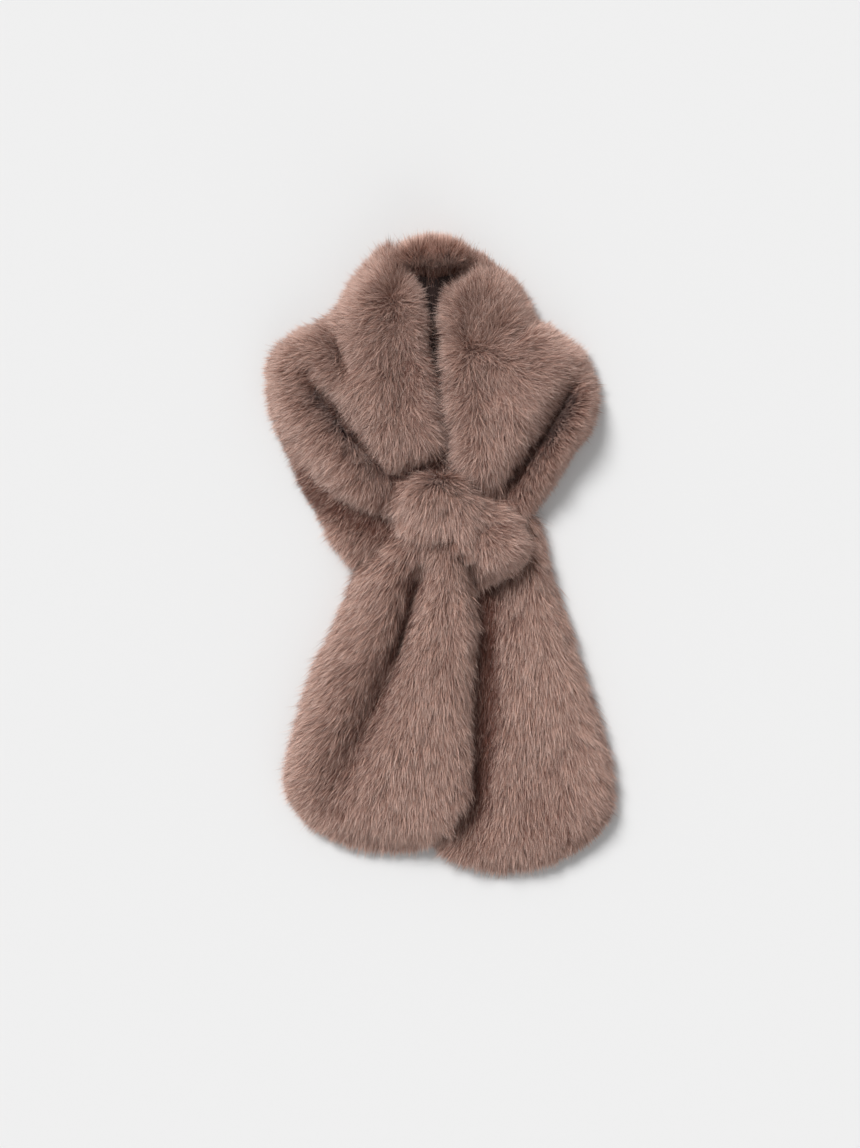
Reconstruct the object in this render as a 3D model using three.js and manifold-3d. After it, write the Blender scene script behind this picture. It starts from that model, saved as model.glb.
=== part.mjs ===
// Fur collar wrap, pulled through its own keeper loop and laid flat on a table.
//
// Millimetres, +Z up. The table is z = 0, the neck end lies towards +Y, the two tails towards -Y, and the
// origin is the middle of the footprint. Each panel is the solid reach of its fur: a flat underside where it
// rests, sides that roll up from the table and a crowned top with the gathers pressed into it. A panel that
// lies on others is cut clear of them, so the layers rest on each other as the folded strip does.

import * as THREE from 'three';
import { mergeVertices } from 'three/addons/utils/BufferGeometryUtils.js';
import Module from 'manifold-3d';

const wasm = await Module();
wasm.setup();

// ---- Driving dimensions -------------------------------------------------------------------------------

const LAYER_GAP = 0.4; // clearance between two layers that rest on each other
const BELT_HEIGHT = 7; // where a rolled edge stands out furthest
const UNDER_TUCK = 6; // how far the flat underside lies inside that edge
const LINING_THICKNESS = 1.4; // satin lining
const LINING_STEPS = 8; // facets along and across the lining
const EDGE_SAMPLES = 60; // points on an outline when the distance to it is measured

const FUR_COLOUR = 0x8c7064;
const FUR_SHADE_COLOUR = 0x7f655a;
const LINING_COLOUR = 0x5f4f4a;

// A panel has facets across it and stations along it, which crowd towards its top end where it says so. Its
// table has one row for each section across it, from the neck end down: where the section lies (y), its two
// edges (left, right), and how high the fur stands towards each edge.

const NECK_BACK = {
	facets: 14,
	stations: 18,
	crowding: 1.5,
	endSoftness: 9,
	leftSoftness: 12,
	rightSoftness: 12,
	sections: [
		{ y: 284, left: - 18, right: 4, leftHeight: 18, rightHeight: 18 },
		{ y: 279, left: - 34, right: 19, leftHeight: 17, rightHeight: 17 },
		{ y: 268, left: - 46, right: 33, leftHeight: 15, rightHeight: 15 },
		{ y: 250, left: - 62, right: 52, leftHeight: 14, rightHeight: 14 },
		{ y: 222, left: - 76, right: 65, leftHeight: 14, rightHeight: 14 },
		{ y: 190, left: - 112, right: 92, leftHeight: 14, rightHeight: 14 },
		{ y: 150, left: - 122, right: 112, leftHeight: 14, rightHeight: 14 },
		{ y: 112, left: - 104, right: 100, leftHeight: 14, rightHeight: 14 },
		{ y: 80, left: - 66, right: 76, leftHeight: 13, rightHeight: 13 },
		{ y: 62, left: - 24, right: 48, leftHeight: 12, rightHeight: 12 },
	],
	// The rolled top edge, and the hem that stands up in front of the neck opening.
	folds: [
		{ from: [ - 36, 270 ], via: [ - 6, 279 ], to: [ 25, 270 ], depth: - 24, width: 8, fade: 10 },
		{ from: [ - 27, 259 ], via: [ - 6, 247 ], to: [ 16, 259 ], depth: - 10, width: 5, fade: 9 },
	],
};

const LINING = {
	hemDip: 11, // how far the hem sags between the corners of the neck opening
	from: 5, // the block that its outline is cut from
	to: 45,
	sections: [
		{ y: 262, left: - 27, right: 16 },
		{ y: 238, left: - 28, right: 16 },
		{ y: 205, left: - 21, right: 15 },
		{ y: 168, left: - 15, right: 17 },
		{ y: 132, left: - 9, right: 22 },
		{ y: 74, left: 2, right: 33 },
	],
};

const FRONT_LEFT = {
	facets: 22,
	stations: 26,
	endSoftness: 18,
	leftSoftness: 30,
	rightSoftness: 17,
	sections: [
		{ y: 279, left: - 42, right: - 32, leftHeight: 30, rightHeight: 34 },
		{ y: 270, left: - 59, right: - 30, leftHeight: 36, rightHeight: 38 },
		{ y: 256, left: - 73, right: - 29, leftHeight: 42, rightHeight: 42 },
		{ y: 244, left: - 82, right: - 19, leftHeight: 44, rightHeight: 44 },
		{ y: 228, left: - 89, right: - 12, leftHeight: 44, rightHeight: 45 },
		{ y: 218, left: - 99, right: - 10, leftHeight: 42, rightHeight: 45 },
		{ y: 205, left: - 127, right: - 8, leftHeight: 38, rightHeight: 46 },
		{ y: 186, left: - 152, right: - 6, leftHeight: 35, rightHeight: 46 },
		{ y: 165, left: - 156, right: - 4, leftHeight: 34, rightHeight: 46 },
		{ y: 140, left: - 154, right: - 1, leftHeight: 34, rightHeight: 45 },
		{ y: 112, left: - 147, right: 4, leftHeight: 34, rightHeight: 42 },
		{ y: 84, left: - 137, right: 9, leftHeight: 34, rightHeight: 36 },
		{ y: 56, left: - 124, right: 8, leftHeight: 33, rightHeight: 28 },
		{ y: 28, left: - 108, right: - 6, leftHeight: 29, rightHeight: 24 },
		{ y: 4, left: - 89, right: - 20, leftHeight: 24, rightHeight: 22 },
		{ y: - 15, left: - 68, right: - 44, leftHeight: 18, rightHeight: 18 },
	],
	folds: [
		{ from: [ - 99, 216 ], via: [ - 90, 193 ], to: [ - 81, 164 ], depth: 10, width: 7, fade: 14 },
		{ from: [ - 122, 166 ], via: [ - 92, 132 ], to: [ - 46, 66 ], depth: 14, width: 10, fade: 24 },
		{ from: [ - 134, 95 ], via: [ - 92, 44 ], to: [ - 42, 28 ], depth: 14, width: 11, fade: 20 },
		{ from: [ - 42, 232 ], via: [ - 30, 190 ], to: [ - 22, 138 ], depth: 6, width: 13, fade: 30 },
	],
};

const FRONT_RIGHT = {
	facets: 22,
	stations: 26,
	endSoftness: 18,
	leftSoftness: 17,
	rightSoftness: 24,
	sections: [
		{ y: 278, left: 13, right: 23, leftHeight: 34, rightHeight: 30 },
		{ y: 269, left: 16, right: 39, leftHeight: 38, rightHeight: 36 },
		{ y: 258, left: 19, right: 59, leftHeight: 42, rightHeight: 41 },
		{ y: 244, left: 6, right: 72, leftHeight: 44, rightHeight: 43 },
		{ y: 226, left: 2, right: 80, leftHeight: 46, rightHeight: 44 },
		{ y: 214, left: 2, right: 90, leftHeight: 47, rightHeight: 44 },
		{ y: 203, left: 3, right: 105, leftHeight: 47, rightHeight: 44 },
		{ y: 186, left: 5, right: 126, leftHeight: 47, rightHeight: 44 },
		{ y: 168, left: 5, right: 138, leftHeight: 47, rightHeight: 45 },
		{ y: 146, left: 8, right: 143, leftHeight: 46, rightHeight: 45 },
		{ y: 122, left: 12, right: 139, leftHeight: 44, rightHeight: 43 },
		{ y: 97, left: 16, right: 126, leftHeight: 40, rightHeight: 40 },
		{ y: 70, left: 22, right: 108, leftHeight: 34, rightHeight: 35 },
		{ y: 44, left: 36, right: 90, leftHeight: 28, rightHeight: 30 },
		{ y: 25, left: 52, right: 70, leftHeight: 24, rightHeight: 25 },
	],
	folds: [
		{ from: [ 80, 218 ], via: [ 72, 208 ], to: [ 62, 195 ], depth: 9, width: 7, fade: 12 },
		{ from: [ 122, 165 ], via: [ 93, 115 ], to: [ 57, 52 ], depth: 16, width: 11, fade: 24 },
		{ from: [ 42, 196 ], via: [ 40, 160 ], to: [ 44, 124 ], depth: 5, width: 14, fade: 26 },
	],
};

const TAIL_UNDER = {
	facets: 16,
	stations: 20,
	endSoftness: 26,
	leftSoftness: 20,
	rightSoftness: 28,
	sections: [
		{ y: 46, left: 62, right: 82, leftHeight: 16, rightHeight: 20 },
		{ y: 32, left: 45, right: 91, leftHeight: 16, rightHeight: 24 },
		{ y: 8, left: 32, right: 95, leftHeight: 15, rightHeight: 28 },
		{ y: - 18, left: 20, right: 102, leftHeight: 13, rightHeight: 31 },
		{ y: - 50, left: 11, right: 112, leftHeight: 12, rightHeight: 32 },
		{ y: - 85, left: 5, right: 123, leftHeight: 12, rightHeight: 32 },
		{ y: - 121, left: 0, right: 135, leftHeight: 12, rightHeight: 32 },
		{ y: - 157, left: - 4, right: 146, leftHeight: 12, rightHeight: 32 },
		{ y: - 190, left: - 7, right: 155, leftHeight: 13, rightHeight: 31 },
		{ y: - 217, left: - 9, right: 158, leftHeight: 15, rightHeight: 30 },
		{ y: - 240, left: - 9, right: 153, leftHeight: 17, rightHeight: 29 },
		{ y: - 258, left: - 6, right: 138, leftHeight: 20, rightHeight: 28 },
		{ y: - 272, left: 8, right: 116, leftHeight: 24, rightHeight: 27 },
		{ y: - 281, left: 28, right: 90, leftHeight: 25, rightHeight: 26 },
		{ y: - 285, left: 48, right: 66, leftHeight: 25, rightHeight: 25 },
	],
	folds: [
		{ from: [ 74, - 44 ], via: [ 71, - 50 ], to: [ 69, - 58 ], depth: 6, width: 8, fade: 8 },
		{ from: [ 96, - 190 ], via: [ 92, - 208 ], to: [ 94, - 224 ], depth: 4, width: 18, fade: 14 },
		{ from: [ 66, - 90 ], via: [ 78, - 140 ], to: [ 84, - 190 ], depth: 3, width: 16, fade: 30 },
	],
};

const TAIL_FRONT = {
	facets: 18,
	stations: 20,
	endSoftness: 28,
	leftSoftness: 30,
	rightSoftness: 20,
	sections: [
		{ y: 40, left: - 36, right: 8, leftHeight: 36, rightHeight: 34 },
		{ y: 24, left: - 46, right: 22, leftHeight: 42, rightHeight: 39 },
		{ y: 6, left: - 62, right: 30, leftHeight: 43, rightHeight: 42 },
		{ y: - 12, left: - 76, right: 32, leftHeight: 41, rightHeight: 44 },
		{ y: - 39, left: - 87, right: 33, leftHeight: 38, rightHeight: 44 },
		{ y: - 66, left: - 98, right: 35, leftHeight: 36, rightHeight: 44 },
		{ y: - 93, left: - 111, right: 34, leftHeight: 36, rightHeight: 43 },
		{ y: - 125, left: - 123, right: 32, leftHeight: 35, rightHeight: 42 },
		{ y: - 160, left: - 133, right: 33, leftHeight: 35, rightHeight: 41 },
		{ y: - 188, left: - 139, right: 36, leftHeight: 34, rightHeight: 40 },
		{ y: - 208, left: - 140, right: 35, leftHeight: 33, rightHeight: 39 },
		{ y: - 226, left: - 132, right: 29, leftHeight: 32, rightHeight: 37 },
		{ y: - 244, left: - 114, right: 17, leftHeight: 31, rightHeight: 34 },
		{ y: - 258, left: - 89, right: 1, leftHeight: 30, rightHeight: 31 },
		{ y: - 267, left: - 56, right: - 30, leftHeight: 28, rightHeight: 28 },
	],
	folds: [
		{ from: [ - 18, - 2 ], via: [ - 30, - 62 ], to: [ - 62, - 140 ], depth: 16, width: 11, fade: 26 },
		{ from: [ - 62, - 140 ], via: [ - 76, - 168 ], to: [ - 90, - 212 ], depth: 7, width: 17, fade: 20 },
		{ from: [ 9, - 16 ], via: [ 9, - 48 ], to: [ 7, - 84 ], depth: 3, width: 5, fade: 16 },
	],
};

const KEEPER = {
	facets: 14,
	stations: 14,
	endSoftness: 14,
	leftSoftness: 28,
	rightSoftness: 20,
	sections: [
		{ y: 81, left: - 20, right: - 4, leftHeight: 44, rightHeight: 44 },
		{ y: 74, left: - 32, right: 14, leftHeight: 52, rightHeight: 52 },
		{ y: 62, left: - 40, right: 27, leftHeight: 56, rightHeight: 57 },
		{ y: 50, left: - 42, right: 50, leftHeight: 55, rightHeight: 57 },
		{ y: 40, left: - 42, right: 68, leftHeight: 53, rightHeight: 57 },
		{ y: 26, left: - 41, right: 77, leftHeight: 51, rightHeight: 56 },
		{ y: 13, left: - 34, right: 82, leftHeight: 50, rightHeight: 55 },
		{ y: 3, left: - 17, right: 84, leftHeight: 50, rightHeight: 53 },
		{ y: - 6, left: 4, right: 81, leftHeight: 51, rightHeight: 51 },
		{ y: - 14, left: 20, right: 71, leftHeight: 50, rightHeight: 48 },
		{ y: - 22, left: 29, right: 54, leftHeight: 46, rightHeight: 46 },
		{ y: - 30, left: 33, right: 38, leftHeight: 40, rightHeight: 40 },
	],
	folds: [
		{ from: [ 40, 28 ], via: [ 46, 28 ], to: [ 53, 25 ], depth: 8, width: 5, fade: 6 },
		{ from: [ 26, 56 ], via: [ 34, 30 ], to: [ 30, - 4 ], depth: 4, width: 8, fade: 16 },
		{ from: [ - 34, 30 ], via: [ - 14, 16 ], to: [ 8, 4 ], depth: 4, width: 8, fade: 16 },
	],
};

// ---- Sections and folds -------------------------------------------------------------------------------

// A smooth function of y through one column of a panel's table.
function column( sections, name ) {

	const rows = [ ...sections ].reverse();
	const places = rows.map( ( row ) => row.y );
	const spline = new THREE.CubicInterpolant( places, rows.map( ( row ) => row[ name ] ), 1 );
	return ( y ) => spline.evaluate( THREE.MathUtils.clamp( y, places[ 0 ], places.at( - 1 ) ) )[ 0 ];

}

// A quarter round that rises from 0 at an edge to 1 where the panel is as high as it gets.
function roundOver( distance, softness ) {

	const inward = Math.min( 1, Math.max( 0, distance / softness ) );
	return Math.sqrt( 1 - ( 1 - inward ) ** 2 );

}

function distanceToLine( points, x, y ) {

	let nearest = Infinity;
	for ( let i = 1; i < points.length; i ++ ) {

		const [ ax, ay ] = points[ i - 1 ];
		const [ bx, by ] = points[ i ];
		const lengthSquared = ( bx - ax ) ** 2 + ( by - ay ) ** 2;
		const along = ( ( x - ax ) * ( bx - ax ) + ( y - ay ) * ( by - ay ) ) / lengthSquared;
		const t = THREE.MathUtils.clamp( along, 0, 1 );
		nearest = Math.min( nearest, Math.hypot( x - ax - t * ( bx - ax ), y - ay - t * ( by - ay ) ) );

	}

	return nearest;

}

// A fold's height at a point: a soft trough along an arc (a ridge where its depth is negative) that fades
// out at both ends.
function makeFold( { from, via, to, depth, width, fade } ) {

	const vector = ( [ x, y ] ) => new THREE.Vector2( x, y );
	const arc = new THREE.SplineCurve( [ vector( from ), vector( via ), vector( to ) ] );
	const points = arc.getSpacedPoints( 12 ).map( ( point ) => [ point.x, point.y ] );
	const length = arc.getLength();

	return ( x, y ) => {

		const distance = distanceToLine( points, x, y );
		const fromEnds = [ from, to ].map( ( end ) => Math.hypot( x - end[ 0 ], y - end[ 1 ] ) );
		const fromEnd = Math.min( ...fromEnds );
		const strength = THREE.MathUtils.smoothstep( fromEnd, - fade / 2, Math.min( fade, length / 2 ) );
		return - depth * strength * Math.exp( - ( ( distance / width ) ** 2 ) );

	};

}

// The top of a panel: its height at any point inside its outline.
function makeTop( panel ) {

	const { sections } = panel;
	const edges = { left: column( sections, 'left' ), right: column( sections, 'right' ) };
	const heights = { left: column( sections, 'leftHeight' ), right: column( sections, 'rightHeight' ) };
	const top = sections[ 0 ].y;
	const bottom = sections.at( - 1 ).y;
	const folds = panel.folds.map( makeFold );

	const sampleEdge = ( edge ) => Array.from( { length: EDGE_SAMPLES + 1 }, ( _, i ) => {

		const y = top + ( bottom - top ) * i / EDGE_SAMPLES;
		return [ edge( y ), y ];

	} );
	const leftLine = sampleEdge( edges.left );
	const rightLine = sampleEdge( edges.right );
	const ends = [ 0, EDGE_SAMPLES ].map( ( i ) => [ leftLine[ i ], rightLine[ i ] ] );

	const height = ( x, y ) => {

		const across = ( x - edges.left( y ) ) / ( edges.right( y ) - edges.left( y ) );
		const crown = THREE.MathUtils.lerp( heights.left( y ), heights.right( y ),
			THREE.MathUtils.smoothstep( across, 0, 1 ) );
		const rise = roundOver( distanceToLine( leftLine, x, y ), panel.leftSoftness )
			* roundOver( distanceToLine( rightLine, x, y ), panel.rightSoftness )
			* roundOver( Math.min( ...ends.map( ( end ) => distanceToLine( end, x, y ) ) ), panel.endSoftness );
		const folded = folds.reduce( ( sum, fold ) => sum + fold( x, y ), 0 );
		return BELT_HEIGHT + ( crown + folded - BELT_HEIGHT ) * rise;

	};

	return { edges, top, bottom, height };

}

// ---- Solids -------------------------------------------------------------------------------------------

// A closed loft through rings with equal point counts, both ends capped by a fan. A ring runs anticlockwise
// as it is seen from the first ring looking towards the last. Each facet is split along its more level
// diagonal, so that a trough which runs across the facets keeps an even floor.
function loft( rings ) {

	const count = rings[ 0 ].length;
	const positions = rings.flat( 2 );
	const index = [];
	for ( let r = 0; r + 1 < rings.length; r ++ ) {

		for ( let i = 0; i < count; i ++ ) {

			const next = ( i + 1 ) % count;
			const [ a, b ] = [ r * count + i, r * count + next ];
			const [ c, d ] = [ b + count, a + count ];
			const climb = ( from, to ) => Math.abs( positions[ 3 * from + 2 ] - positions[ 3 * to + 2 ] );
			index.push( ...( climb( a, c ) <= climb( b, d ) ? [ a, c, b, a, d, c ] : [ a, d, b, b, d, c ] ) );

		}

	}

	for ( const [ ring, flip ] of [ [ 0, false ], [ rings.length - 1, true ] ] ) {

		const middle = positions.length / 3;
		for ( let axis = 0; axis < 3; axis ++ ) {

			positions.push( rings[ ring ].reduce( ( sum, point ) => sum + point[ axis ], 0 ) / count );

		}

		for ( let i = 0; i < count; i ++ ) {

			const [ a, b ] = [ ring * count + i, ring * count + ( i + 1 ) % count ];
			index.push( middle, ...( flip ? [ b, a ] : [ a, b ] ) );

		}

	}

	const geometry = new THREE.BufferGeometry();
	geometry.setAttribute( 'position', new THREE.Float32BufferAttribute( positions, 3 ) );
	geometry.setIndex( index );
	return geometry;

}

// Places from -1 to 1 across a panel, and from 0 to 1 along it, that crowd towards its edges, where it rolls
// down to the table.
function acrossPanel( step, steps ) {

	const even = 2 * step / steps - 1;
	return ( even + Math.sin( even * Math.PI / 2 ) ) / 2;

}

function alongPanel( step, steps, crowding ) {

	const even = ( step / steps ) ** crowding;
	return even / 2 + ( 1 - Math.cos( even * Math.PI ) ) / 4;

}

// A fur panel: one ring for each station, made of the crowned top and the flat, tucked underside.
function furPanel( panel ) {

	const { edges, top, bottom, height } = makeTop( panel );
	const { facets, stations, crowding = 1 } = panel;
	const halfLength = ( top - bottom ) / 2;
	const middle = ( top + bottom ) / 2;

	const rings = [];
	for ( let station = 0; station <= stations; station ++ ) {

		const toEnd = 1 - 2 * alongPanel( station, stations, crowding );
		const y = middle + toEnd * halfLength;
		const centre = ( edges.left( y ) + edges.right( y ) ) / 2;
		const halfWidth = ( edges.right( y ) - edges.left( y ) ) / 2;

		const ring = [];
		for ( let i = 0; i <= facets; i ++ ) {

			const x = centre + acrossPanel( i, facets ) * halfWidth;
			ring.push( [ x, y, height( x, y ) ] );

		}

		const tuck = Math.min( UNDER_TUCK, halfWidth / 2 );
		const yUnder = middle + toEnd * ( halfLength - UNDER_TUCK );
		for ( const across of [ 1, 0.5, 0, - 0.5, - 1 ] ) {

			ring.push( [ centre + across * ( halfWidth - tuck ), yUnder, 0 ] );

		}

		rings.push( ring );

	}

	return loft( rings );

}

// An upright block with the lining's outline: straight edges down to the keeper, and a hem that sags between
// the corners of the neck opening.
function liningBlock() {

	const { sections, hemDip, from, to } = LINING;
	const left = column( sections, 'left' );
	const right = column( sections, 'right' );
	const [ top, bottom ] = [ sections[ 0 ].y, sections.at( - 1 ).y ];

	const rings = [];
	for ( let station = 0; station <= LINING_STEPS; station ++ ) {

		const down = station / LINING_STEPS;
		const y = THREE.MathUtils.lerp( top, bottom, down );
		const centre = ( left( y ) + right( y ) ) / 2;
		const halfWidth = ( right( y ) - left( y ) ) / 2;
		const line = Array.from( { length: LINING_STEPS + 1 }, ( _, i ) => {

			const across = 2 * i / LINING_STEPS - 1;
			const sag = hemDip * ( 1 - across ** 2 ) * ( 1 - down ) ** 3;
			return [ centre + across * halfWidth, y - sag ];

		} );
		const upper = line.map( ( point ) => [ ...point, to ] );
		const lower = line.map( ( point ) => [ ...point, from ] );
		rings.push( [ ...upper, ...lower.reverse() ] );

	}

	return loft( rings );

}

// ---- Cutting the layers clear of each other -----------------------------------------------------------

// Growing moves every vertex out along its normal.
function toManifold( geometry, grow = 0 ) {

	const merged = mergeVertices( geometry, 1e-4 );
	merged.computeVertexNormals();
	const { position, normal } = merged.attributes;
	return new wasm.Manifold( new wasm.Mesh( {
		numProp: 3,
		vertProperties: position.array.map( ( value, i ) => value + grow * normal.array[ i ] ),
		triVerts: new Uint32Array( merged.index.array ),
	} ) );

}

function toGeometry( manifold ) {

	const mesh = manifold.getMesh();
	const geometry = new THREE.BufferGeometry();
	geometry.setAttribute( 'position', new THREE.Float32BufferAttribute( mesh.vertProperties, 3 ) );
	geometry.setIndex( [ ...mesh.triVerts ] );
	return geometry;

}

// The lining lies on the neck back: it is the part of its block between the back's surface moved up by the
// clearance and the same surface moved up by the lining's thickness as well.
function liningSolid( grow ) {

	const back = toManifold( furPanel( NECK_BACK ) );
	const lower = back.translate( [ 0, 0, LAYER_GAP - grow ] );
	const upper = back.translate( [ 0, 0, LAYER_GAP + LINING_THICKNESS + grow ] );
	return toManifold( liningBlock(), grow ).intersect( upper ).subtract( lower );

}

// A grown panel is joined with the panel itself, which stands out of it in the sharpest hollows.
const panelSolid = ( panel ) => ( grow ) => {

	const surface = furPanel( panel );
	return toManifold( surface, grow ).add( toManifold( surface ) );

};

// From the table up: each layer is cut by every layer under it, grown by the clearance.
const layers = [
	{ name: 'neck_back', solid: panelSolid( NECK_BACK ), colour: FUR_SHADE_COLOUR, roughness: 0.9 },
	{ name: 'neck_lining', solid: liningSolid, colour: LINING_COLOUR, roughness: 0.45, fitted: true },
	{ name: 'tail_under', solid: panelSolid( TAIL_UNDER ), colour: FUR_SHADE_COLOUR, roughness: 0.9 },
	{ name: 'front_left', solid: panelSolid( FRONT_LEFT ), colour: FUR_COLOUR, roughness: 0.9 },
	{ name: 'front_right', solid: panelSolid( FRONT_RIGHT ), colour: FUR_COLOUR, roughness: 0.9 },
	{ name: 'tail_front', solid: panelSolid( TAIL_FRONT ), colour: FUR_COLOUR, roughness: 0.9 },
	{ name: 'keeper_loop', solid: panelSolid( KEEPER ), colour: FUR_COLOUR, roughness: 0.9 },
];

const group = new THREE.Group();
layers.forEach( ( layer, level ) => {

	let solid = layer.solid( 0 );
	const underneath = layer.fitted ? [] : layers.slice( 0, level );
	for ( const under of underneath ) {

		solid = solid.subtract( under.solid( LAYER_GAP ) );

	}

	// A cut between two rolled edges leaves crumbs beside the panel, which are not part of it.
	const [ panel ] = solid.decompose().sort( ( a, b ) => b.volume() - a.volume() );
	const material = new THREE.MeshStandardMaterial( { color: layer.colour, roughness: layer.roughness } );
	const mesh = new THREE.Mesh( toGeometry( panel ), material );
	mesh.name = layer.name;
	group.add( mesh );

} );

// The origin is the middle of the footprint, on the table.
const centre = new THREE.Box3().setFromObject( group ).getCenter( new THREE.Vector3() );
group.position.set( - centre.x, - centre.y, 0 );

export default group;
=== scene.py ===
"""Fur collar wrap, pulled through its own keeper loop and laid flat on a table.

Each panel is a thin knitted backing on its CAD solid's form, drawn in from it by the depth of the pile, with
a coat of faux fur strands standing on it. The satin lining shows in the throat slot. Sizes in the tables are
millimetres in the row frame; meshes are in metres.
"""

import math

import bmesh
import bpy
import numpy as np
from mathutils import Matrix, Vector, noise
from mathutils.bvhtree import BVHTree
from mathutils.kdtree import KDTree


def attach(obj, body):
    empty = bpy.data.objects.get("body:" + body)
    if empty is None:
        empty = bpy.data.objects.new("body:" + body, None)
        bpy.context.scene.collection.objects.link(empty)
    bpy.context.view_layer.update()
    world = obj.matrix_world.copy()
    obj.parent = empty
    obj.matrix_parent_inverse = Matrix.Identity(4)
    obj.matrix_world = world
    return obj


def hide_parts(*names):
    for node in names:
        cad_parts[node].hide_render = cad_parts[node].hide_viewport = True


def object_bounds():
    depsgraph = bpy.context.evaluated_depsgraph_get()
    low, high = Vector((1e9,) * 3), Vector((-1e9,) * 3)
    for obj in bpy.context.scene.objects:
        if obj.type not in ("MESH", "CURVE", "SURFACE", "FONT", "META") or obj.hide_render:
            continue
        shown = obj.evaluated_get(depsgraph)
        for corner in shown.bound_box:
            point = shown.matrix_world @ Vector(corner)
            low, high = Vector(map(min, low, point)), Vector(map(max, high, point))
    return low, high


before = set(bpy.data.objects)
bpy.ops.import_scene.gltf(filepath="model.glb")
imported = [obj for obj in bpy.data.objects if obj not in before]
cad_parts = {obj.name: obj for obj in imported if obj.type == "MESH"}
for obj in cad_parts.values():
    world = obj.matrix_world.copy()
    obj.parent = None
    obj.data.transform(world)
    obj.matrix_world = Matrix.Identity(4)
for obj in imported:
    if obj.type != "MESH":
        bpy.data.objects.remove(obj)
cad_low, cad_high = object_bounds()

MM = 0.001
SEED = 20260

# ---- The wrap's own sizes: lengths in millimetres, angles in degrees, and shares of one -------------------

# The backings. A slope is the height of a unit normal: -1 faces the table and 1 faces up.
BACKING_GRID = 4.4  # facets of the backing
FORM_GRID = 0.7  # the form is first made even in facets of this share of that
WELD = 0.02  # corners of a solid as close as this are one corner
FORM_PASSES, BACKING_PASSES = 3, 2  # smoothings of the form and of the backing
BACKING_WALL = 1.4  # knitted backing with its glued pile roots
CRUSHED_PILE = 0.35  # share of the pile depth left under a panel's own weight
UNDERSIDE = (-0.75, -0.15)  # the slopes between which that ends
RIM_OUT = 0.45  # the share more that the pile stands out where it is combed over an edge
RIM_IN = 0.55  # and the share less where it is combed back from one
LEAST_LOFT = 7.0  # a pressed layer stays this high
LEAST_RIM = 1.5  # and its underside this high
UPPER_SIDE = (0.0, 0.4)  # the slopes between which one gives way to the other

# The creases.
CREASE_HEIGHTS = (4, 18)  # a crease presses nothing below the first height, and fully above the second
ARC_POINTS = 17  # along the arc of a crease
FULL_CREASE = 10  # the hair in a crease as deep as this is fully shortened and gets the full painted shade
SHADED = 1.3  # how much wider than a crease its short hair with painted shade is

# The satin lining.
LINING_WALL = 0.4  # satin
HEM = (-7, 251.5, 5.0, 23)  # the lining's top edge: its middle, height there, rise to the corners, half width
UPPER_FACE = 0.3  # the least slope of the face that shows
LINING_FACET = 2.6
LINING_CUTS, LINING_PASSES = 4, 6  # rounds of cutting to that size, and smoothings
CRINKLE = 9.0  # spacing of the crinkles in the satin, and how deep they are
CRINKLE_DEPTH = 0.6
CRINKLE_FORM = (1.0, 2.0, 2.0, 0.8, 1.6)  # roughness, lacunarity, octaves, offset and gain of their noise

# The air in front of the pile.
RAYS = 40  # directions that are looked along
GRAZING = 0.15  # the least slope of one from the surface
COVER = (2, 60)  # for cover by other layers: how far out the rays start, and how far they go
SHADE = (5, 45)  # the same for shade from every layer

# Where the strands stand, and how they are combed.
COVERED_SHARE, OPEN_ENOUGH = 0.02, 0.30  # the share of strands left under a layer, and the openness with all
UNDER_SHARE, UNDER_SLOPES = 0.14, (-0.8, -0.25)  # the share left on the underside, and where that ends
PARTED_MORE = 1.2  # the share more where the coat parts
COMB_NEAR, COMB_FALL = 50, 1.6  # comb rows blend with distance: a soft start, in mm2, and how fast it falls
SETTLED = 0.80  # the share of the comb's lift that is left where the coat has lain flat
PARTED_LIFT = 40  # how much more the strands stand up where the coat parts
TUFT = 2.0  # spacing of the small tufts that the strand tips gather into
LOCK = 9.0  # spacing of the larger locks that lean together

# The strands. Where three numbers are given they are the spread of locks, tufts and single strands.
STRAND_LENGTH = 20.5  # guard hair of the pile
LENGTH_SPREAD = 0.15
CREASE_SHORT = 0.50  # the share shorter that a strand is on the floor of a crease
OVER_EDGE = 0.36  # and where it is combed over an edge
WISPS, WISP_LENGTH = 0.07, 1.35  # the share of stray long strands, and how much longer they are
LOCK_LIFT, TUFT_LIFT, STRAND_LIFT = 3, 2, 6
LEAST_LIFT, MOST_LIFT = 8, 70
LOCK_TURN, TUFT_TURN, STRAND_TURN = 7, 4, 8
PARTED_TURN = 110  # how much more the strands turn where the coat parts
KNEE = 0.45  # where a strand bends, as a share of its length
RISE, DROOP = 0.30, 0.22  # how much its foot stands up and its tip lies down from its lift, in radians
GATHER, GATHER_SPREAD = 0.05, 0.17  # how far a tip is drawn to its tuft's tip: the least, and the spread
KNEE_GATHER = 0.35  # and its knee, as a share of that
GUARD_SHARE = 0.30  # strands with a bend in them, among the straight fine ones
GUARD_WIDTH = 0.53  # both are drawn about ten times as coarse as one fibre, so that they show
FINE_WIDTH = 0.56
LEAST_WIDTH, WIDTH_SPREAD = 0.75, 0.5  # of those widths
KNEE_WIDTH = 0.9
TWIST = 28  # how much a strand's flat side is turned
ROOT_SUNK = 0.8  # how deep a strand is set in the backing
FLOOR_CLEAR = 0.5  # the lowest hair above the table
REACH = (9.0, 12.0, 10.0)  # the furthest that any hair stands out of the solids' box, along X, Y and Z
REACH_SPREAD = 0.25  # the share less that some of it stands out

# Tone runs from 0, dark, to 1, light.
MIDDLE_TONE = 0.54
LOCK_TONE, TUFT_TONE, STRAND_TONE = 0.05, 0.03, 0.33
CLEAR_AIR = 0.80  # the openness that leaves the tone as it is: less open air gets painted shade, more gets a little painted light
CREASE_PAINTED_SHADE = 0.36  # painted shade: darker on the floor of a crease
SIDE_PAINTED_LIGHT = 0.40  # painted light: lighter on the sides, in the open air
MAP_HALF = 0.0009  # half a strand's width on the map

KNIT_ROW = 1.2  # spacing of the rows of the knit

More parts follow.
